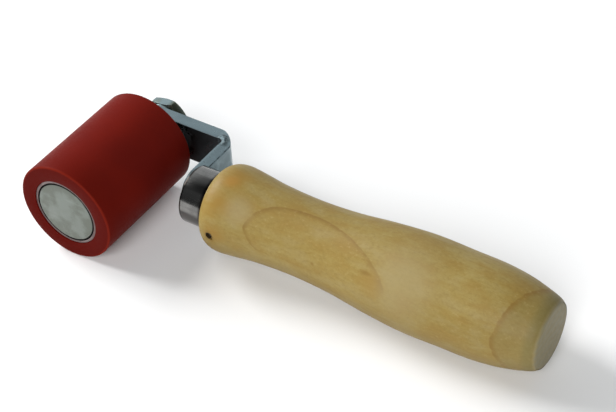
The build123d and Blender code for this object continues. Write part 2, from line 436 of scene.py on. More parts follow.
# ------------------------------------------------------------------ shader wiring
class Wiring:
    """Adds and joins shader nodes in one node tree."""

    def __init__(self, tree: bpy.types.NodeTree) -> None:
        """Keeps the tree.

        Args:
            tree: Node tree to fill.
        """
        self.tree = tree

    def add(self, kind: str, sockets: dict | None = None, **settings: object) -> bpy.types.Node:
        """Adds a node, sets it and joins its inputs.

        Args:
            kind: Node type without the ShaderNode prefix.
            sockets: Input name or number to a value, or to the socket that feeds it.
            **settings: Node properties.

        Returns:
            The node.
        """
        node = self.tree.nodes.new("ShaderNode" + kind)
        for key, value in settings.items():
            setattr(node, key, value)
        for key, value in (sockets or {}).items():
            if isinstance(value, Socket):
                self.tree.links.new(value, node.inputs[key])
            else:
                node.inputs[key].default_value = value
        return node

    def maths(self, how: str, *values: Value) -> Socket:
        """Result of a Math node.

        Args:
            how: Math operation.
            *values: Up to three inputs.

        Returns:
            The result's socket.
        """
        return self.add("Math", dict(enumerate(values)), operation=how).outputs[0]

    def times(self, a: Value, b: Value) -> Socket:
        """Product of two values."""
        return self.maths("MULTIPLY", a, b)

    def plus(self, a: Value, b: Value) -> Socket:
        """Sum of two values."""
        return self.maths("ADD", a, b)

    def minus(self, a: Value, b: Value) -> Socket:
        """First value less the second."""
        return self.maths("SUBTRACT", a, b)

    def length(self, a: Value, b: Value) -> Socket:
        """Length of the vector with two given sides."""
        return self.maths("SQRT", self.plus(self.times(a, a), self.times(b, b)))

    def most(self, *values: Socket) -> Socket:
        """Largest of several values.

        Args:
            *values: Sockets to compare.

        Returns:
            The result's socket.
        """
        top = values[0]
        for value in values[1:]:
            top = self.maths("MAXIMUM", top, value)
        return top

    def fade(
        self, value: Value, start: float, end: float, low: float = 0.0, high: float = 1.0
    ) -> Socket:
        """Smooth step from one value to another.

        Args:
            value: What is measured.
            start: Where the step starts.
            end: Where it ends.
            low: Result before start.
            high: Result after end.

        Returns:
            The result's socket.
        """
        sockets = {0: value, 1: start, 2: end, 3: low, 4: high}
        return self.add("MapRange", sockets, interpolation_type="SMOOTHSTEP").outputs[0]

    def tint(self, share: Value, under: Socket | Colour, over: Socket | Colour) -> Socket:
        """Lays one colour over another.

        Args:
            share: How much of the upper colour shows.
            under: Lower colour.
            over: Upper colour.

        Returns:
            The mixed colour's socket.
        """
        lower, upper = ((*c, 1.0) if isinstance(c, tuple) else c for c in (under, over))
        return self.add("Mix", {0: share, 6: lower, 7: upper}, data_type="RGBA").outputs[2]

    def lay(self, colour: Socket, *coats: Coat) -> Socket:
        """Lays coats over a colour, one after another.

        Args:
            colour: Lower colour.
            *coats: Each coat's mask, its share where the mask is 1, and its colour.

        Returns:
            The mixed colour's socket.
        """
        for mask, share, over in coats:
            colour = self.tint(self.times(mask, share), colour, over)
        return colour

    def noise(self, vector: Socket, scale: float, detail: float = 2.0, rough: float = 0.5) -> Socket:
        """Soft noise between 0 and 1.

        Args:
            vector: Coordinates.
            scale: Noise scale per metre.
            detail: Octaves.
            rough: Strength of the finer octaves.

        Returns:
            The value's socket.
        """
        sockets = {"Vector": vector, "Scale": scale, "Detail": detail, "Roughness": rough}
        return self.add("TexNoise", sockets).outputs[0]

    def stretched(self, vector: Socket, scale: Spot) -> Socket:
        """Coordinates scaled apart along the axes.

        Args:
            vector: Coordinates.
            scale: Factor for each axis.

        Returns:
            The stretched coordinates' socket.
        """
        return self.add("VectorMath", {0: vector, 1: scale}, operation="MULTIPLY").outputs[0]

    def split(self, vector: Socket) -> Sequence[Socket]:
        """X, Y and Z of a vector."""
        return self.add("SeparateXYZ", {0: vector}).outputs


class Effects:
    """Shader groups that several finishes share, each built once."""

    def __init__(self) -> None:
        """Starts with no group built."""
        self.built: dict[str, bpy.types.NodeTree] = {}

    def group(
        self,
        name: str,
        inputs: dict[str, float],
        outputs: Iterable[str],
        fill: Callable[[Wiring, Mapping[str, Socket]], dict[str, Socket]],
    ) -> bpy.types.NodeTree:
        """Builds a group the first time it is asked for.

        Args:
            name: Group name.
            inputs: Number inputs and their defaults; Vector is always the first input.
            outputs: Names of the number outputs.
            fill: Wires the inside and returns output name to socket.

        Returns:
            The node group.
        """
        if name in self.built:
            return self.built[name]
        tree = bpy.data.node_groups.new(name, "ShaderNodeTree")
        tree.interface.new_socket("Vector", in_out="INPUT", socket_type="NodeSocketVector")
        for key, value in inputs.items():
            number = tree.interface.new_socket(key, in_out="INPUT", socket_type="NodeSocketFloat")
            number.default_value = value
        for key in outputs:
            tree.interface.new_socket(key, in_out="OUTPUT", socket_type="NodeSocketFloat")
        start = tree.nodes.new("NodeGroupInput")
        end = tree.nodes.new("NodeGroupOutput")
        for key, socket in fill(Wiring(tree), start.outputs).items():
            tree.links.new(socket, end.inputs[key])
        self.built[name] = tree
        return tree

    def use(
        self, w: Wiring, tree: bpy.types.NodeTree, vector: Socket, **values: float
    ) -> dict[str, Socket]:
        """Places a group in a material.

        Args:
            w: Material wiring.
            tree: Node group.
            vector: Coordinates.
            **values: Number inputs.

        Returns:
            The group node's output sockets by name.
        """
        node = w.tree.nodes.new("ShaderNodeGroup")
        node.node_tree = tree
        w.tree.links.new(vector, node.inputs["Vector"])
        for key, value in values.items():
            node.inputs[key].default_value = value
        return {socket.name: socket for socket in node.outputs}

    def tool_frame(self, w: Wiring) -> Socket:
        """Object coordinates turned back into the tool frame, in metres.

        Args:
            w: Material wiring.

        Returns:
            The coordinates' socket.
        """
        back = REST.matrix().inverted()
        sockets = {0: w.add("TexCoord").outputs["Object"], 1: back.translation, 2: back.to_euler()}
        return w.add("Mapping", sockets, vector_type="POINT").outputs[0]

    def specks(self, w: Wiring, vector: Socket, scale: float, amount: float) -> Socket:
        """Sparse small dots of dust.

        Args:
            w: Material wiring.
            vector: Coordinates.
            scale: Dots per metre.
            amount: Share of cells that hold a dot.

        Returns:
            Mask socket, 1 on a dot.
        """

        def fill(w: Wiring, given: Mapping[str, Socket]) -> dict[str, Socket]:
            """Wires the group."""
            cell = w.add("TexVoronoi", {"Vector": given["Vector"], "Scale": given["Scale"]})
            red = w.add("SeparateColor", {0: cell.outputs["Color"]}).outputs[0]
            chosen = w.maths("LESS_THAN", red, given["Amount"])
            return {"Mask": w.times(chosen, w.fade(cell.outputs["Distance"], 0.13, 0.05))}

        tree = self.group("dust_specks", {"Scale": 500.0, "Amount": 0.1}, ["Mask"], fill)
        return self.use(w, tree, vector, Scale=scale, Amount=amount)["Mask"]

    def wear(self, w: Wiring, vector: Socket, scale: float, spread: float) -> dict[str, Socket]:
        """Cloudy stains and fine scratches of handled metal.

        Args:
            w: Material wiring.
            vector: Coordinates.
            scale: Cloud scale per metre.
            spread: How far the clouds reach, 0 to 1.

        Returns:
            Sockets Clouds and Scratches, both 0 to 1.
        """

        def fill(w: Wiring, given: Mapping[str, Socket]) -> dict[str, Socket]:
            """Wires the group."""
            cloud = w.noise(given["Vector"], given["Scale"], 5.0, 0.6)
            level = w.minus(cloud, w.minus(0.62, w.times(given["Spread"], 0.3)))
            along = w.noise(w.stretched(given["Vector"], (90, 4200, 900)), 1.0)
            across = w.noise(w.stretched(given["Vector"], (2600, 500, 120)), 1.0)
            lines = w.most(w.fade(along, 0.62, 0.8), w.fade(across, 0.66, 0.82))
            return {"Clouds": w.fade(w.times(level, 5.0), -0.3, 0.8), "Scratches": lines}

        tree = self.group("handled_metal", {"Scale": 120.0, "Spread": 0.5}, ["Clouds", "Scratches"], fill)
        return self.use(w, tree, vector, Scale=scale, Spread=spread)


EFFECTS = Effects()


# ------------------------------------------------------------------ finishes
class Finish:
    """A finish that can be laid on pieces; subclasses wire their own look."""

    name = "finish"
    slot = Slot.BAR

    def __init__(self) -> None:
        """Makes the material and wires it."""
        self.material = bpy.data.materials.new(self.name)
        self.material.use_nodes = True
        tree = self.material.node_tree
        self.shader = tree.nodes["Principled BSDF"]
        self.wires = Wiring(tree)
        self.spot = EFFECTS.tool_frame(self.wires)
        millimetres = self.wires.stretched(self.spot, (1 / MM, 1 / MM, 1 / MM))
        self.x, self.y, self.z = self.wires.split(millimetres)
        self.wire()

    def wire(self) -> None:
        """Wires the look; each finish has its own."""

    def feed(self, socket: str, value: Value) -> None:
        """Joins or sets an input of the Principled shader.

        Args:
            socket: Input name.
            value: Socket or number.
        """
        if isinstance(value, Socket):
            self.wires.tree.links.new(value, self.shader.inputs[socket])
        else:
            self.shader.inputs[socket].default_value = value

    def bump(self, height: Socket, depth: float, strength: float, under: Socket | None = None) -> Socket:
        """Turns a height into a normal.

        Args:
            height: Height socket, 0 to 1.
            depth: Millimetres between 0 and 1.
            strength: Share of the effect.
            under: Normal socket of a bump below this one.

        Returns:
            The normal's socket.
        """
        sockets = {"Height": height, "Distance": depth * MM, "Strength": strength}
        if under is not None:
            sockets["Normal"] = under
        return self.wires.add("Bump", sockets).outputs[0]

    def from_axle(self) -> Socket:
        """Distance from the axle in millimetres."""
        w = self.wires
        return w.length(w.minus(self.x, REST.axle_x), w.minus(self.z, REST.axle_z))

    def dress(self, piece: bpy.types.Object) -> None:
        """Lays the finish on a piece.

        Args:
            piece: Object to dress.
        """
        slots = piece.data.materials
        if not slots:
            slots.append(self.material)
        for i in range(len(slots)):
            slots[i] = self.material


@dataclass(frozen=True)
class BirchTones:
    """Colours of sanded, lightly oiled birch, with some painted shade, in linear light."""

    pale: Colour = (0.298, 0.222, 0.068)
    chalk: Colour = (0.308, 0.245, 0.108)
    body: Colour = (0.266, 0.188, 0.050)
    warm: Colour = (0.258, 0.160, 0.034)
    line: Colour = (0.200, 0.112, 0.024)
    shade: Colour = (0.215, 0.168, 0.058)
    amber: Colour = (0.275, 0.160, 0.030)
    knot: Colour = (0.34, 0.178, 0.034)
    waist: Colour = (0.33, 0.265, 0.135)
    grain: Colour = (0.185, 0.118, 0.030)
    gleam: Colour = (0.37, 0.29, 0.12)
    # painted shade for the underside
    under: Colour = (0.19, 0.132, 0.042)
    end: Colour = (0.225, 0.205, 0.130)
    rim: Colour = (0.15, 0.13, 0.05)
    # painted shade where the wood meets the ferrule
    seam: Colour = (0.05, 0.025, 0.01)
    # painted shade inside the pin hole
    pin_hole_shade: Colour = (0.012, 0.007, 0.004)


@dataclass(frozen=True)
class Oval:
    """Oval mark on the turned surface.

    Attributes:
        centre: Millimetres behind the shoulder.
        angle: Degrees round the handle, from +Y towards +Z.
        half: Half length and half width in millimetres.
        lean: Millimetres back for each millimetre round.
        full: 2 for an ellipse, less for a pointed lens.
        blunt: The same for the end towards the ferrule; 0 where both ends are alike.
        soft: Fade on the inner side of its late-wood line.
        crisp: Fade on the outer side.
    """

    centre: float
    angle: float
    half: tuple[float, float]
    lean: float = 0.0
    full: float = 2.0
    blunt: float = 0.0
    soft: float = 0.15
    crisp: float = 0.03


@dataclass(frozen=True)
class BirchMarks:
    """Places of the birch's marks; a patch is (behind the shoulder, degrees round, radius)."""

    near: Oval = Oval(38.7, 26, (22.9, 11.2), -0.37, 1.55, 2.6, 0.15, 0.028)
    far: Oval = Oval(66, 208, (30, 10.5), 0.15, 1.7, 0.0, 0.16, 0.04)
    low: Oval = Oval(24, 285, (17, 8.0), 0.1, 1.8, 0.0, 0.2, 0.05)
    butt: Oval = Oval(116, 14, (22.8, 44), -0.1, 1.15, 0.0, 0.10, 0.022)
    streak: Oval = Oval(55.2, 36, (2.8, 0.9), -0.6)
    shoulder: tuple[Spot, ...] = ((5.5, 45, 6.5), (7, 86, 6.5), (6.5, 8, 5.5))
    knot: Spot = (6.8, 80, 3.0)
    waist: tuple[Spot, ...] = ((12.5, 48, 6.0), (66, 40, 14.0))
    glow: Spot = (57.0, 27, 5.0)
    flecks: tuple[Spot, ...] = ((38.7, 17, 0.9), (80, 240, 1.2))


class Birch(Finish):
    """Turned birch: growth-ring lines, long fibres, flecks and a darker end grain."""

    name = "turned_birch"
    slot = Slot.BIRCH
    tones = BirchTones()
    marks = BirchMarks()
    mean_r = 12.0
    pin_x = -5.15

    def oval(self, mark: Oval) -> Socket:
        """Distance measure of an oval, 1 on its line.

        Args:
            mark: The oval.

        Returns:
            The measure's socket.
        """
        w = self.wires
        sine, cosine = math.sin(math.radians(mark.angle)), math.cos(math.radians(mark.angle))
        facing = w.plus(w.times(self.side_y, cosine), w.times(self.side_z, sine))
        aside = w.minus(w.times(self.side_z, cosine), w.times(self.side_y, sine))
        across = w.times(w.minus(1.0, facing), 2 * (self.mean_r / mark.half[1]) ** 2)
        across = w.maths("POWER", w.maths("MAXIMUM", across, 0.0), mark.full / 2)
        along = w.minus(w.minus(self.behind, mark.centre), w.times(aside, mark.lean * self.mean_r))
        front = w.maths("LESS_THAN", along, 0.0)
        power = w.plus(mark.full, w.times(front, (mark.blunt or mark.full) - mark.full))
        along = w.maths("POWER", w.maths("ABSOLUTE", w.maths("DIVIDE", along, mark.half[0])), power)
        return w.maths("POWER", w.plus(along, across), 1 / mark.full)

    def ring_line(self, measure: Socket, mark: Oval) -> Socket:
        """Late-wood line, soft on its inner side and crisp on its outer side.

        Args:
            measure: Oval measure, 1 on the line.
            mark: The oval.

        Returns:
            Mask socket.
        """
        w = self.wires
        inside = w.maths("POWER", w.fade(measure, 1.0 - mark.soft, 1.0), 1.6)
        return w.times(inside, w.fade(measure, 1.0, 1.0 + mark.crisp, 1.0, 0.0))

    def patches(self, *places: Spot) -> Socket:
        """Mask of soft round patches on the turned surface."""
        ovals = (self.oval(Oval(centre, angle, (size, size))) for centre, angle, size in places)
        return self.wires.most(*(self.wires.fade(oval, 1.0, 0.15) for oval in ovals))

    def drawn(self, along: float, scale: float, detail: float = 2.0, rough: float = 0.5) -> Socket:
        """Noise drawn out along the handle.

        Args:
            along: Factor on the coordinate along the handle; less draws the noise out more.
            scale: Noise scale per metre.
            detail: Octaves.
            rough: Strength of the finer octaves.

        Returns:
            The value's socket.
        """
        w = self.wires
        return w.noise(w.stretched(self.spot, (along, 1, 1)), scale, detail, rough)

    def survey(self) -> None:
        """Measures the surface: millimetres behind the shoulder, wavering, and the side it faces."""
        w = self.wires
        radius = w.maths("MAXIMUM", w.length(self.y, self.z), 0.1)
        self.side_y, self.side_z = w.maths("DIVIDE", self.y, radius), w.maths("DIVIDE", self.z, radius)
        wave, self.ripple = self.drawn(0.45, 90), self.drawn(0.25, 420)
        drift = w.plus(w.times(w.minus(wave, 0.5), 2.4), w.times(w.minus(self.ripple, 0.5), 1.5))
        self.behind = w.plus(w.times(self.x, -1.0), drift)

    def rings(self, colour: Socket) -> Socket:
        """Adds the growth rings that the turned surface cuts as ovals.

        Args:
            colour: Colour so far.

        Returns:
            Colour with the rings.
        """
        w, tones, marks = self.wires, self.tones, self.marks
        near, butt = self.oval(marks.near), self.oval(marks.butt)
        height = w.minus(self.side_z, w.times(self.behind, 0.008))
        lines = w.times(self.ring_line(near, marks.near), w.fade(height, -0.32, 0.12, 0.05, 1.0))
        others = [self.ring_line(self.oval(mark), mark) for mark in (marks.far, marks.low)]
        lines = w.most(lines, *others, self.ring_line(butt, marks.butt))
        lines = w.times(lines, w.fade(self.ripple, 0.25, 0.6, 0.45, 1.0))
        return w.lay(
            colour,
            (w.fade(near, 1.02, 0.9), 0.12, tones.warm),
            (w.fade(butt, 1.01, 0.94), 0.45, tones.shade),
            (lines, 0.75, tones.line),
        )

    def marked(self, colour: Socket, mottle: Socket) -> Socket:
        """Adds the amber shoulder, the pale waist, small flecks and painted shade on the underside.

        Args:
            colour: Colour so far.
            mottle: Blotch noise.

        Returns:
            Colour with the marks.
        """
        w, tones, marks = self.wires, self.tones, self.marks
        shoulder = w.times(self.patches(*marks.shoulder), w.fade(mottle, 0.35, 0.6, 0.45, 1.0))
        streak = w.fade(self.oval(marks.streak), 1.0, 0.15)
        return w.lay(
            colour,
            (shoulder, 0.85, tones.amber),
            (self.patches(marks.knot), 0.65, tones.knot),
            (self.patches(*marks.waist), 0.5, tones.waist),
            (self.patches(marks.glow), 0.4, tones.amber),
            (w.most(self.patches(*marks.flecks), streak), 0.6, tones.line),
            # painted shade: darker towards the underside, against the light the floor throws up
            (w.fade(self.side_z, 0.1, -0.5), 0.4, tones.under),
        )

    def ends(self, colour: Socket) -> Socket:
        """Adds the butt's end grain, painted shade inside the pin hole and painted shade where the wood
        meets the ferrule.

        Args:
            colour: Colour so far.

        Returns:
            Colour with the ends.
        """
        w, tones = self.wires, self.tones
        rim = w.times(w.fade(self.x, -100.5, -103.0), w.fade(self.x, -104.7, -104.0))
        flat = w.stretched(self.spot, (0, 1, 1))
        bands = {"Vector": flat, "Scale": 120.0, "Distortion": 3.0, "Detail": 2.0}
        arcs = w.add("TexWave", bands, wave_type="BANDS", bands_direction="Z").outputs[1]
        grey = w.tint(w.times(arcs, 0.25), tones.end, tones.body)
        near_side = w.maths("GREATER_THAN", self.y, 0.0)
        from_pin = w.length(w.minus(self.x, self.pin_x), self.z)
        return w.lay(
            colour,
            (rim, 0.45, tones.rim),
            (w.fade(self.x, -104.0, -104.9), 0.85, grey),
            (w.times(w.fade(from_pin, 2.3, 0.9), near_side), 0.6, tones.line),
            # painted shade: the pin hole's wall and rim painted nearly black
            (w.times(w.fade(from_pin, 1.25, 1.0), near_side), 0.96, tones.pin_hole_shade),
            # painted shade where the wood meets the ferrule
            (w.fade(self.x, -0.6, 0.3), 0.8, tones.seam),
        )

    def wire(self) -> None:
        """Wires the wood."""
        self.survey()
        w, tones = self.wires, self.tones
        cloud, mottle = self.drawn(0.6, 55), self.drawn(0.5, 260, 3.0)
        streaks = self.drawn(0.06, 620, 3.0, 0.55)
        fibre, pores = self.drawn(0.035, 2600, 3.0, 0.65), self.drawn(0.10, 5200, 2.0, 0.6)
        grain = self.drawn(0.7, 1150, 4.0, 0.7)
        colour = w.lay(
            w.tint(w.fade(cloud, 0.3, 0.7), tones.body, tones.pale),
            (w.fade(mottle, 0.45, 0.68), 0.55, tones.warm),
            (w.fade(mottle, 0.5, 0.3), 0.35, tones.chalk),
            (w.fade(streaks, 0.5, 0.70), 0.28, tones.warm),
        )
        colour = w.lay(
            self.rings(colour),
            (w.fade(fibre, 0.50, 0.72), 0.18, tones.line),
            (w.fade(pores, 0.66, 0.8), 0.25, tones.line),
            (w.fade(grain, 0.46, 0.72), 0.34, tones.grain),
            (w.fade(grain, 0.46, 0.25), 0.38, tones.gleam),
        )
        self.feed("Base Color", self.ends(self.marked(colour, mottle)))
        self.feed("Roughness", w.fade(streaks, 0.3, 0.7, 0.44, 0.56))
        self.feed("Specular IOR Level", 0.20)
        fine = w.plus(w.times(fibre, 0.5), w.times(grain, 0.5))
        self.feed("Normal", self.bump(mottle, 0.10, 0.5, self.bump(fine, 0.045, 0.6)))


class RedSilicone(Finish):
    """Moulded red silicone with dust, a painted highlight on its rounded rims and painted shade on its
    end faces.
    """

    name = "red_silicone"
    slot = Slot.SILICONE
    body: Colour = (0.146, 0.0092, 0.0052)
    deep: Colour = (0.118, 0.0080, 0.0056)
    handled: Colour = (0.108, 0.0065, 0.0036)
    # painted highlight on the rounded rims
    rim_highlight: Colour = (0.20, 0.018, 0.008)
    # painted shade on both end faces
    cut: Colour = (0.079, 0.0036, 0.0018)
    dust: Colour = (0.42, 0.16, 0.11)
    free_y = 24.0
    arm_y = -16.0

    def near_ends(self, start: float, end: float) -> Socket:
        """Mask of both end faces.

        Args:
            start: Millimetres inside an end face where the mask starts.
            end: Millimetres inside it where the mask is 1.

        Returns:
            Mask socket.
        """
        w = self.wires
        free = w.fade(self.y, self.free_y - start, self.free_y - end)
        return w.most(free, w.fade(self.y, self.arm_y + start, self.arm_y + end))

    def wire(self) -> None:
        """Wires the rubber."""
        w = self.wires
        cloud = w.noise(self.spot, 75, 3.0)
        fine = w.noise(self.spot, 1500, 3.0, 0.6)
        skin = w.noise(self.spot, 5200)
        rim = w.times(self.near_ends(0.7, 0.0), w.fade(self.from_axle(), 15.2, 15.8))
        colour = w.lay(
            w.tint(w.times(w.fade(cloud, 0.35, 0.68), 0.6), self.body, self.deep),
            (w.fade(fine, 0.45, 0.75), 0.3, self.deep),
            (w.fade(self.y, 12, 22), 0.5, self.handled),
            # painted shade: both end faces darker than the side
            (self.near_ends(0.3, 0.05), 0.8, self.cut),
            # painted highlight: paler colour on the rounded rims
            (rim, 0.6, self.rim_highlight),
            (EFFECTS.specks(w, self.spot, 260, 0.05), 0.55, self.dust),
        )
        self.feed("Base Color", colour)
        self.feed("Roughness", w.fade(fine, 0.3, 0.7, 0.40, 0.56))
        self.feed("Specular IOR Level", 0.02)
        self.feed("Normal", self.bump(skin, 0.02, 0.35, self.bump(cloud, 0.10, 0.35)))


@dataclass(frozen=True)
class MetalTone:
    """Numbers of one metal finish.

    Attributes:
        name: Material name.
        slot: Record slot.
        clean: Colour of the clean metal.
        stained: Colour in the clouds.
        gloss: Roughness of the clean metal and of the clouds.
        clouds: Cloud scale per metre and spread.
        stain: Share of the stained colour in a cloud.
        scratch: Share of a paler colour in a scratch.
    """

    name: str
    slot: Slot
    clean: Colour
    stained: Colour
    gloss: tuple[float, float] = (0.3, 0.45)
    clouds: tuple[float, float] = (120.0, 0.5)
    stain: float = 0.6
    scratch: float = 0.15


class Metal(Finish):
    """Plated, turned or bare metal with stains and scratches."""

    def __init__(self, tone: MetalTone) -> None:
        """Takes the metal's numbers.

        Args:
            tone: Numbers of the finish.
        """
        self.tone = tone
        self.name = tone.name
        self.slot = tone.slot
        super().__init__()

    def wire(self) -> None:
        """Wires the metal."""
        w, tone = self.wires, self.tone
        worn = EFFECTS.wear(w, self.spot, *tone.clouds)
        grain = w.noise(self.spot, 2400, 3.0, 0.6)
        pale = tuple(min(1.0, c * 1.6) for c in tone.clean)
        colour = w.lay(
            w.tint(w.times(worn["Clouds"], tone.stain), tone.clean, tone.stained),
            (worn["Scratches"], tone.scratch, pale),
            (w.fade(grain, 0.5, 0.75), 0.18, tone.stained),
        )
        self.feed("Base Color", self.extra(colour))
        self.feed("Metallic", 1.0)
        matt = w.plus(w.times(worn["Clouds"], 0.7), w.times(grain, 0.3))
        self.feed("Roughness", self.dull(w.fade(matt, 0.1, 0.8, *tone.gloss)))
        self.feed("Normal", self.bump(worn["Scratches"], 0.006, 0.3, self.bump(grain, 0.012, 0.35)))

    def extra(self, colour: Socket) -> Socket:
        """Lets a special metal add to the colour.

        Args:
            colour: Colour so far.

        Returns:
            Colour to use.
        """
        return colour

    def dull(self, gloss: Socket) -> Socket:
        """Lets a special metal change the roughness.

        Args:
            gloss: Roughness so far.

        Returns:
            Roughness to use.
        """
        return gloss


class FerruleSteel(Metal):
    """Drawn steel tube, darkened along the tube in long bands, with painted shade at both rims and on its
    underside.
    """

    # painted shade at both rims
    rim_and_gap_shade: Colour = (0.022, 0.014, 0.010)
    # painted shade on the underside
    below: Colour = (0.085, 0.082, 0.077)

    def extra(self, colour: Socket) -> Socket:
        """Adds the drawn bands, painted shade on the underside and painted shade at both rims.

        Args:
            colour: Colour so far.

        Returns:
            Colour to use.
        """
        w = self.wires
        bands = w.noise(w.stretched(self.spot, (0.02, 1, 1)), 900)
        rims = w.most(w.fade(self.x, 2.3, 1.2), w.fade(self.x, 7.8, 8.15))
        return w.lay(
            colour,
            (w.fade(bands, 0.4, 0.7), 0.45, self.tone.stained),
            # painted shade: darker towards the bottom of the tube
            (w.fade(self.z, 3.5, -3.0), 0.55, self.below),
            # painted shade: both rims nearly black
            (rims, 0.88, self.rim_and_gap_shade),
        )


class BarZinc(Metal):
    """Zinc-plated flat bar with a sheared rear edge, crazed plating with painted glints at the bend, and
    painted shade on its round end and its inner faces.
    """

    shear: Colour = (0.015, 0.018, 0.02)
    crazed: Colour = (0.09, 0.12, 0.13)
    pit: Colour = (0.03, 0.04, 0.045)
    # painted highlights: pale glints in the crazed spot
    glint: Colour = (0.26, 0.30, 0.31)
    # painted shade over the cross leg's round end
    round_end_shade: Colour = (0.05, 0.055, 0.057)
    # painted shade on the inner faces
    inner_face_shade: Colour = (0.03, 0.028, 0.03)
    bend_x = 12.8
    bend_y = -19.9

    def bend(self) -> Socket:
        """Mask of the crazed spot on the inside of the bend.

        Returns:
            Mask socket.
        """
        w = self.wires
        away = w.length(w.minus(self.x, self.bend_x), w.minus(self.y, self.bend_y))
        return w.fade(away, 2.9, 1.7)

    def dull(self, gloss: Socket) -> Socket:
        """Roughens the crazed spot."""
        return self.wires.most(gloss, self.wires.times(self.bend(), 0.68))

    def extra(self, colour: Socket) -> Socket:
        """Adds the shear line, the crazing with its painted glints, painted shade over the cross leg's
        round end and painted shade on the inner faces.

        Args:
            colour: Colour so far.

        Returns:
            Colour to use.
        """
        w = self.wires
        edge = w.fade(w.maths("ABSOLUTE", w.minus(self.z, REST.axle_z)), 6.25, 6.45)
        rear = w.fade(w.maths("ABSOLUTE", w.minus(self.x, 8.95)), 0.30, 0.08)
        wander = w.fade(w.noise(self.spot, 700), 0.3, 0.55)
        bend, spots = self.bend(), w.noise(self.spot, 1300)
        # painted shade: the cross leg's round end darkened, which dims its reflection
        scale = w.times(w.fade(self.y, -5.5, -3.0), w.fade(self.x, 13.0, 12.9))
        # painted shade: the inner faces of the bend, towards the roller, painted dull and nearly black
        inside = w.times(w.fade(self.y, -20.25, -20.08), w.fade(self.x, 12.45, 12.6))
        return w.lay(
            colour,
            (w.times(w.times(edge, rear), wander), 0.85, self.shear),
            (bend, 0.6, self.crazed),
            (w.times(bend, w.fade(spots, 0.50, 0.60)), 0.8, self.pit),
            # painted highlights: pale glints in the crazed spot
            (w.times(bend, w.fade(spots, 0.45, 0.36)), 0.6, self.glint),
            (scale, 0.75, self.round_end_shade),
            (w.times(inside, w.fade(edge, 0.9, 0.1)), 0.88, self.inner_face_shade),
        )


class NutZinc(Metal):
    """Zinc-plated fasteners, darker and olive on the side towards the handle."""

    olive: Colour = (0.085, 0.082, 0.035)

    def extra(self, colour: Socket) -> Socket:
        """Adds the darker olive tone on the side towards the handle.

        Args:
            colour: Colour so far.

        Returns:
            Colour to use.
        """
        w = self.wires
        rear = w.fade(w.minus(self.x, REST.axle_x), -0.8, -3.2)
        return w.lay(colour, (rear, 0.72, self.olive))


class PressedRound(Metal):
    """Metal pressed into the roller's free end, with painted shade in the gap round the cap."""

    # painted shade in the gap round the cap
    rim_and_gap_shade: Colour = (0.006, 0.006, 0.006)
    gap_low = 9.55
    gap_high = 10.3
    soft = 0.2

    def extra(self, colour: Socket) -> Socket:
        """Adds the painted shade in the gap.

        Args:
            colour: Colour so far.

        Returns:
            Colour to use.
        """
        w, radius = self.wires, self.from_axle()
        outside = w.fade(radius, self.gap_low, self.gap_low + self.soft)
        inside = w.fade(radius, self.gap_high, self.gap_high - self.soft)
        at_end = w.maths("GREATER_THAN", self.y, 20.0)
        return w.lay(colour, (w.times(w.times(outside, inside), at_end), 0.92, self.rim_and_gap_shade))


# ------------------------------------------------------------------ pieces
@dataclass
class Handle:
    """Turned birch handle with its tenon and the cross hole of the pin.

    Attributes:
        length: Shoulder to butt.
        tenon_r: Tenon radius.
        tenon_end: How far the tenon runs in front of the shoulder.
        holes: The pin's hole and the chip that broke away beside it, as (x, bottom y, z, radius).
        rim: Rounding of the butt's rim.
        profile: (behind the shoulder, radius) pairs.
    """

    length: float = 105.0
    tenon_r: float = 7.65
    tenon_end: float = 8.2
    holes: tuple[tuple[float, ...], ...] = ((-5.15, 11.4, 0.0, 1.05), (-5.9, 12.1, -0.85, 0.55))
    rim: float = 0.9
    profile: tuple[tuple[float, float], ...] = (
        (0.0, 9.9), (0.45, 11.2), (1.4, 12.1), (3.0, 12.85), (5.3, 13.15), (10.0, 12.75),
        (17.4, 11.85), (29.5, 11.33), (41.6, 11.82), (53.6, 13.15), (65.7, 14.04), (77.8, 13.85),
        (87.0, 13.65), (94.5, 12.75), (100.5, 11.3), (103.7, 10.2), (105.0, 9.3),
    )

    def wood(self, finish: Finish) -> bpy.types.Object:
        """Turns the wood and bores the cross hole.

        Args:
            finish: Wood finish.

        Returns:
            The handle.
        """
        line = [(-s, r) for s, r in flowing(self.profile, 6)]
        outline = [(self.tenon_end, self.tenon_r), (0.0, self.tenon_r), *line]
        wood = turned("handle_wood", outline, Spindle.HANDLE, sides=144)
        round_rims(wood, Spindle.HANDLE, [(-self.length, self.profile[-1][1])], self.rim, 5)
        depth = 8.0
        for x, bottom, z, radius in self.holes:
            cut(wood, rod("pin_cutter", 28, radius, depth, (x, bottom + depth / 2, z)))
        return finished(wood, finish, 38)


@dataclass
class Ferrule:
    """Short drawn steel tube over the tenon."""

    radius: float = 8.65
    wall: float = 1.0
    length: float = 8.6
    rim: float = 0.35

    def tube(self, finish: Finish) -> bpy.types.Object:
        """Turns the tube and rounds its rims.

        Args:
            finish: Steel finish.

        Returns:
            The ferrule.
        """
        rims = [(0.0, self.radius), (self.length, self.radius)]
        inner = self.radius - self.wall
        outline = [(0.0, inner), *rims, (self.length, inner)]
        tube = turned("ferrule_tube", outline, Spindle.HANDLE, closed=True)
        round_rims(tube, Spindle.HANDLE, rims, self.rim)
        return finished(tube, finish)


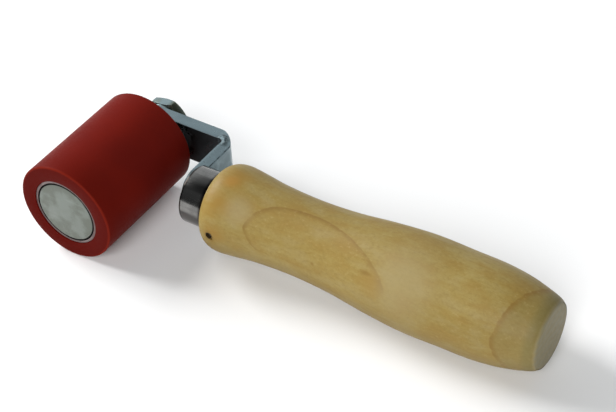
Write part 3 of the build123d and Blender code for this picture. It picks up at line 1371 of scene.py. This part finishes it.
@dataclass
class Arm:
    """Flat bar bent once: forward leg to the axle, cross leg behind the roller.

    Attributes:
        width: Bar width.
        thick: Bar thickness.
        outer_y: Y of the forward leg's outer face.
        back_x: X of the cross leg's rear face.
        round_y: Y where the cross leg's round end starts.
        inner_bend: Radius inside the bend.
        squeeze: How far the outside of the bend draws in.
        pinch: How far the inside of the bend sinks into the bar.
        bulge: Height of the bead on the bar's edges at the bend.
        layers: Layers of vertices through the thickness.
        bend_steps: Steps round the bend.
        edge: Rounding of the bar's edges.
    """

    width: float = 13.0
    thick: float = 4.0
    outer_y: float = -24.0
    back_x: float = 8.6
    round_y: float = -4.4
    inner_bend: float = 2.6
    squeeze: float = 0.75
    pinch: float = 0.6
    bulge: float = 0.6
    layers: int = 5
    bend_steps: int = 18
    edge: float = 0.32

    def bar(self, finish: Finish) -> bpy.types.Object:
        """Shapes the bar from the round end at the axle to the round end at the ferrule.

        Args:
            finish: Zinc finish.

        Returns:
            The arm.
        """
        bend_x = self.back_x + self.thick + self.inner_bend
        bend_y = self.outer_y + self.thick + self.inner_bend
        clear_choice()
        bpy.ops.mesh.primitive_circle_add(
            vertices=64,
            radius=self.width / 2 * MM,
            fill_type="NGON",
            location=Vector((REST.axle_x, self.outer_y, REST.axle_z)) * MM,
            rotation=(math.pi / 2, 0, 0),
        )
        bar = named("arm_bar")
        bpy.ops.object.mode_set(mode="EDIT")
        bpy.ops.mesh.select_all(action="SELECT")
        for _ in range(self.layers):
            extrude(Vector((0, self.thick / self.layers, 0)))
        bpy.ops.mesh.select_all(action="SELECT")
        bpy.ops.mesh.normals_make_consistent(inside=False)
        choose(bar, "faces", lambda spot, normal: normal.x < -0.02 and abs(normal.y) < 0.5)
        extrude(Vector((-9, 0, 0)))
        centre = Vector((bend_x, bend_y, REST.axle_z)) * MM
        bpy.ops.transform.resize(value=(0, 1, 1), center_override=centre)
        bpy.ops.mesh.spin(steps=self.bend_steps, angle=math.pi / 2, center=centre, axis=(0, 0, 1))
        extrude(Vector((0, self.round_y - bend_y, 0)))
        self.round_end(bar)
        self.settle_bend(bar, Vector((bend_x, bend_y, 0)))
        knit()
        bevel = {"width": self.edge * MM, "segments": 3, "angle_limit": math.radians(50)}
        apply_modifier(bar, "BEVEL", limit_method="ANGLE", **bevel)
        return finished(bar, finish, 30)

    def round_end(self, bar: bpy.types.Object) -> None:
        """Rounds the cross leg's end over the full width.

        Args:
            bar: Arm in edit mode.
        """
        half = self.width / 2
        for step in range(-15, 16):
            level = half * math.sin(math.pi * step / 32)

            def here(spot: Vector, normal: Vector, height: float = REST.axle_z + level) -> bool:
                """True for the end's vertices at this level."""
                at_end = abs(spot.y - self.round_y) < 0.01 and spot.x < 20
                return at_end and abs(spot.z - height) < 0.01

            nudge(bar, here, (0, math.sqrt(half * half - level * level), 0))

    def settle_bend(self, bar: bpy.types.Object, centre: Vector) -> None:
        """Thins the bar at the bend and raises a bead on its edges, as cold bending does.

        Args:
            bar: Arm in edit mode.
            centre: The bend's centre in millimetres, at height 0.
        """
        half = self.width / 2
        for step in range(1, self.bend_steps):
            turn = math.pi / 2 * step / self.bend_steps
            strength = math.sin(turn * 2) ** 1.2
            outward = Vector((-math.sin(turn), -math.cos(turn), 0))
            for layer in range(self.layers + 1):
                share = layer / self.layers
                place = centre + outward * (self.inner_bend + self.thick * share)

                def here(spot: Vector, normal: Vector, side: int = 0, goal: Vector = place) -> bool:
                    """True for the vertices of this layer and step, all or those on one edge."""
                    on_side = not side or side * (spot.z - REST.axle_z) > half - 0.01
                    return on_side and math.hypot(spot.x - goal.x, spot.y - goal.y) < 0.02

                bead = self.bulge * strength * math.sin(math.pi * min(1.0, share * 1.1 + 0.06)) ** 2
                for side in (1, -1):
                    nudge(bar, partial(here, side=side), (0, 0, side * bead))
                shift = self.pinch * (1 - share) ** 2 - self.squeeze * share**1.5
                nudge(bar, here, outward * (shift * strength))


@dataclass
class Roller:
    """Silicone sleeve on a turned core, closed by a pressed-in cap.

    Attributes:
        radius: Sleeve radius.
        free_y: Y of the sleeve's free end.
        width: Sleeve width.
        core_r: Core radius.
        recess: How far the core's ends lie inside the sleeve's.
        seat_r: Radius of the bearing seats.
        land_r: Radius of the bore between the seats.
        pocket_r: Radius of the cap's pocket.
        pocket: Depth of the pocket.
        cap_r: Cap radius.
        cap_recess: How far the cap lies inside the sleeve's end.
        cap_thick: Cap thickness.
        skirt: Length and wall of the cap's skirt.
        near_seat: Y where the free side's seat ends.
        far_seat: Y where the arm side's seat ends.
    """

    radius: float = 16.0
    free_y: float = 24.0
    width: float = 40.0
    core_r: float = 11.0
    recess: float = 0.3
    seat_r: float = 9.5
    land_r: float = 8.4
    pocket_r: float = 10.12
    pocket: float = 1.5
    cap_r: float = 9.76
    cap_recess: float = 0.25
    cap_thick: float = 1.3
    skirt: tuple[float, float] = (2.4, 1.0)
    near_seat: float = 9.0
    far_seat: float = -9.06

    def sleeve(self, finish: Finish) -> bpy.types.Object:
        """Turns the sleeve and rounds its rims.

        Args:
            finish: Silicone finish.

        Returns:
            The sleeve.
        """
        low, high = self.free_y - self.width, self.free_y
        skin = [(low + self.width * k / 8, self.radius) for k in range(9)]
        outline = [(low, self.core_r), *skin, (high, self.core_r)]
        sleeve = turned("silicone_roller", outline, Spindle.AXLE, closed=True, sides=192)
        round_rims(sleeve, Spindle.AXLE, [(low, self.radius), (high, self.radius)], 0.55, 5)
        round_rims(sleeve, Spindle.AXLE, [(low, self.core_r), (high, self.core_r)], 0.12, 2)
        return finished(sleeve, finish)

    def core(self, finish: Finish) -> bpy.types.Object:
        """Turns the core with its bearing seats and the cap's pocket.

        Args:
            finish: Aluminium finish.

        Returns:
            The core.
        """
        low, high = self.free_y - self.width + self.recess, self.free_y - self.recess
        floor = high - self.pocket
        rims = [(low, self.seat_r), (low, self.core_r), (high, self.core_r), (high, self.pocket_r)]
        seats = [
            (floor, self.pocket_r), (floor, self.seat_r), (self.near_seat, self.seat_r),
            (self.near_seat, self.land_r), (self.far_seat, self.land_r), (self.far_seat, self.seat_r),
        ]
        core = turned("roller_core_ring", rims + seats, Spindle.AXLE, closed=True)
        round_rims(core, Spindle.AXLE, rims, 0.14, 3)
        return finished(core, finish)

    def cap(self, finish: Finish) -> bpy.types.Object:
        """Turns the flat cap with its skirt.

        Args:
            finish: Cap finish.

        Returns:
            The cap.
        """
        face = self.free_y - self.cap_recess
        back = face - self.cap_thick
        length, wall = self.skirt
        outline = [
            (face, self.cap_r), (back, self.cap_r), (back, self.seat_r), (back - length, self.seat_r),
            (back - length, self.seat_r - wall), (back, self.seat_r - wall),
        ]
        cap = turned("roller_cap", outline, Spindle.AXLE)
        round_rims(cap, Spindle.AXLE, [(face, self.cap_r)], 0.28)
        return finished(cap, finish)


@dataclass
class Fasteners:
    """Nut and washer that hold the axle in the arm.

    Attributes:
        flats: Nut width across flats.
        nut_turn: Degrees that the nut is turned by.
        blank_r: Radius that the nut's chamfers start from.
        chamfers: Radius and height of the nut's outer and inner chamfer.
        nut_low: Y of the nut's outer face.
        seat_y: Y where nut and washer meet.
        arm_y: Y of the arm's outer face.
        washer_r: Washer radius.
        bore_r: Radius of both bores.
        play: How much larger the washer's bore radius is.
    """

    flats: float = 13.0
    nut_turn: float = 8.0
    blank_r: float = 7.45
    chamfers: tuple[tuple[float, float], ...] = ((5.6, 1.15), (6.3, 0.7))
    nut_low: float = -28.6
    seat_y: float = -24.8
    arm_y: float = -24.0
    washer_r: float = 6.4
    bore_r: float = 4.0
    play: float = 0.05

    def nut(self, finish: Finish) -> bpy.types.Object:
        """Cuts the hexagon from a chamfered blank and bores it.

        Args:
            finish: Fastener finish.

        Returns:
            The nut.
        """
        low, high = self.nut_low, self.seat_y
        (outer_r, outer), (inner_r, inner) = self.chamfers
        outline = [
            (low, outer_r), (low + outer, self.blank_r), (high - inner, self.blank_r), (high, inner_r)
        ]
        blank = turned("axle_hex_nut", outline, Spindle.AXLE, sides=96)
        middle = (REST.axle_x, (low + high) / 2, REST.axle_z)
        corner = self.flats / 2 / math.cos(math.radians(30))
        cut(blank, rod("hexagon", 6, corner, 9, middle, 30 + self.nut_turn), "INTERSECT")
        cut(blank, rod("bore", 64, self.bore_r, 12, middle))
        bevel = {"width": 0.14 * MM, "segments": 2, "angle_limit": math.radians(25)}
        apply_modifier(blank, "BEVEL", limit_method="ANGLE", **bevel)
        return finished(blank, finish, 25)

    def washer(self, finish: Finish) -> bpy.types.Object:
        """Turns the washer with one rolled edge.

        Args:
            finish: Fastener finish.

        Returns:
            The washer.
        """
        low, high, inner = self.seat_y, self.arm_y, self.bore_r + self.play
        outline = [(low, inner), (low, self.washer_r), (high, self.washer_r), (high, inner)]
        ring = turned("arm_flat_washer", outline, Spindle.AXLE, closed=True, sides=96)
        round_rims(ring, Spindle.AXLE, [(low, self.washer_r)], 0.3)
        return finished(ring, finish)


# ------------------------------------------------------------------ stage
@dataclass
class Studio:
    """Pale floor, soft light and the camera.

    Attributes:
        eye: Camera place in metres.
        right: Camera's right in the shared frame.
        up: Camera's up in the shared frame.
        lens: Focal length in millimetres on a 36 mm wide sensor.
    """

    eye: Spot = (-0.201586, 0.271514, 0.309955)
    right: Spot = (-0.840495, -0.537011, -0.072024)
    up: Spot = (0.302584, -0.575486, 0.759775)
    lens: float = 92.914

    def camera(self) -> None:
        """Places the camera."""
        data = bpy.data.cameras.new("studio_camera")
        data.lens, data.sensor_width, data.sensor_fit = self.lens, 36.0, "HORIZONTAL"
        data.clip_start, data.clip_end = 0.01, 20.0
        camera = bpy.data.objects.new("studio_camera", data)
        bpy.context.scene.collection.objects.link(camera)
        right, up = Vector(self.right).normalized(), Vector(self.up).normalized()
        turn = Matrix((right, up, right.cross(up))).transposed().to_4x4()
        camera.matrix_world = Matrix.Translation(self.eye) @ turn
        bpy.context.scene.camera = camera

    def floor(self) -> None:
        """Lays the floor."""
        clear_choice()
        bpy.ops.mesh.primitive_plane_add(size=8, location=(0, 0, -0.00005))
        floor = named("studio_floor")
        paper = bpy.data.materials.new("studio_paper")
        paper.use_nodes = True
        shader = paper.node_tree.nodes["Principled BSDF"]
        shader.inputs["Base Color"].default_value = (0.93, 0.93, 0.93, 1)
        shader.inputs["Roughness"].default_value = 0.9
        shader.inputs["Specular IOR Level"].default_value = 0.1
        floor.data.materials.append(paper)

    def softbox(self, name: str, towards: Spot, distance: float, size: float, power: float) -> None:
        """Hangs one round soft light that faces the object.

        Args:
            name: Light name.
            towards: Direction from the object to the light.
            distance: Metres from the object.
            size: Width in metres.
            power: Watts.
        """
        data = bpy.data.lights.new(name, "AREA")
        data.shape, data.size, data.energy = "DISK", size, power
        light = bpy.data.objects.new(name, data)
        bpy.context.scene.collection.objects.link(light)
        way = Vector(towards).normalized()
        facing = way.to_track_quat("Z", "Y").to_matrix().to_4x4()
        light.matrix_world = Matrix.Translation(way * distance) @ facing

    def light(self) -> None:
        """Sets the even room light and the soft lights."""
        world = bpy.data.worlds.new("studio_room")
        bpy.context.scene.world = world
        world.use_nodes = True
        back = world.node_tree.nodes["Background"]
        back.inputs["Color"].default_value = (0.93, 0.97, 1.0, 1)
        w = Wiring(world.node_tree)
        way_x, way_y, way_z = w.split(w.add("TexCoord").outputs["Generated"])
        window = w.minus(w.times(way_x, 0.6), w.times(way_y, 0.8))
        walls = w.fade(window, 0.0, 0.6, 0.10, 0.85)
        roof = w.fade(way_z, 0.66, 0.86, 1.0, 0.3)
        world.node_tree.links.new(w.times(walls, roof), back.inputs["Strength"])
        self.softbox("soft_front", (0.88, 0.0, 0.60), 1.3, 0.7, 18.5)
        self.softbox("soft_side", (-0.30, 0.88, 0.62), 1.5, 1.0, 18.0)
        scene = bpy.context.scene
        scene.view_settings.view_transform = "Standard"
        scene.view_settings.look = "None"


# ------------------------------------------------------------------ assembly
def show(piece: bpy.types.Object, body: Body, finish: Finish, *nodes: str) -> None:
    """Sets a finished piece in its place, on its body and for its nodes.

    Args:
        piece: Finished object in the tool frame.
        body: Body that it rides on.
        finish: Finish that it wears; not used.
        *nodes: Nodes that it stands for.
    """
    REST.place(piece)
    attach(piece, body.value)
    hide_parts(*nodes)
    faces = len(piece.data.polygons)
    log.info("%s: %d faces on %s, for %s", piece.name, faces, body.value, ", ".join(nodes))


def metals() -> dict[str, Finish]:
    """Every metal finish.

    Returns:
        Finish name to finish.
    """
    tones = {
        "bar": (
            "zinc_plated_bar", Slot.BAR, (0.215, 0.280, 0.300), (0.12, 0.165, 0.185),
            (0.26, 0.42), (160, 0.5), 0.5, 0.2,
        ),
        "nut": (
            "zinc_plated_nut", Slot.FASTENER, (0.29, 0.375, 0.39), (0.185, 0.215, 0.17),
            (0.18, 0.30), (220, 0.6), 0.6, 0.15,
        ),
        "ferrule": (
            "drawn_steel", Slot.FERRULE, (0.25, 0.245, 0.235), (0.12, 0.117, 0.113),
            (0.12, 0.20), (150, 0.4), 0.5, 0.25,
        ),
        "core": (
            "turned_core", Slot.CORE, (0.21, 0.17, 0.165), (0.13, 0.08, 0.075),
            (0.35, 0.5), (200, 0.6), 0.6, 0.2,
        ),
        "cap": (
            "brushed_cap", Slot.CAP, (0.225, 0.25, 0.225), (0.17, 0.18, 0.15),
            (0.42, 0.58), (140, 0.6), 0.6, 0.25,
        ),
        "bearing": (
            "ground_bearing_steel", Slot.BEARING, (0.56, 0.56, 0.57), (0.4, 0.39, 0.38), (0.15, 0.25)
        ),
        "shield": ("pressed_shield", Slot.SHIELD, (0.5, 0.5, 0.5), (0.36, 0.35, 0.34), (0.3, 0.42)),
        "tang": ("bare_tang_steel", Slot.TANG, (0.24, 0.23, 0.22), (0.12, 0.08, 0.05), (0.4, 0.6)),
    }
    special = {"bar": BarZinc, "nut": NutZinc, "ferrule": FerruleSteel}
    pressed = {"core": PressedRound, "cap": PressedRound}
    kinds = special | pressed
    return {key: kinds.get(key, Metal)(MetalTone(*tone)) for key, tone in tones.items()}


def dress_kept(finishes: dict[str, Finish]) -> None:
    """Dresses the hidden and half-hidden nodes that stay as they are.

    Args:
        finishes: Metal finishes by name.
    """
    ends = ("near", "far")
    rolling = ("inner_ring", "outer_ring", "balls", "cage")
    plan = {
        "bearing": [f"{end}_{part}" for end in ends for part in rolling],
        "shield": [f"{end}_shield_{side}_side" for end in ends for side in ("free", "arm")],
        "nut": ["axle_bolt", "arm_spacer"],
        "tang": ["tang", "locking_pin", "head_spacer", "bearing_spacer"],
    }
    for key, nodes in plan.items():
        for node in nodes:
            finishes[key].dress(frame["nodes"][node])
            log.info("%s keeps its shape and wears %s", node, finishes[key].name)


def main() -> None:
    """Builds the tool piece by piece and the studio round it."""
    logging.basicConfig(level=logging.INFO, format="%(name)s: %(message)s")
    REST.check()
    finishes = metals()
    birch, silicone = Birch(), RedSilicone()
    show(Handle().wood(birch), Body.TOOL, birch, "handle")
    show(Ferrule().tube(finishes["ferrule"]), Body.TOOL, finishes["ferrule"], "ferrule")
    show(Arm().bar(finishes["bar"]), Body.TOOL, finishes["bar"], "arm")
    fasteners = Fasteners()
    show(fasteners.nut(finishes["nut"]), Body.TOOL, finishes["nut"], "axle_nut")
    show(fasteners.washer(finishes["nut"]), Body.TOOL, finishes["nut"], "arm_washer")
    roller = Roller()
    show(roller.sleeve(silicone), Body.ROLLER, silicone, "silicone_sleeve")
    show(roller.core(finishes["core"]), Body.ROLLER, finishes["core"], "roller_core")
    show(roller.cap(finishes["cap"]), Body.ROLLER, finishes["cap"], "end_cap")
    dress_kept(finishes)
    studio = Studio()
    studio.camera()
    studio.floor()
    studio.light()
    clear_choice()


if __name__ == "__main__":
    main()
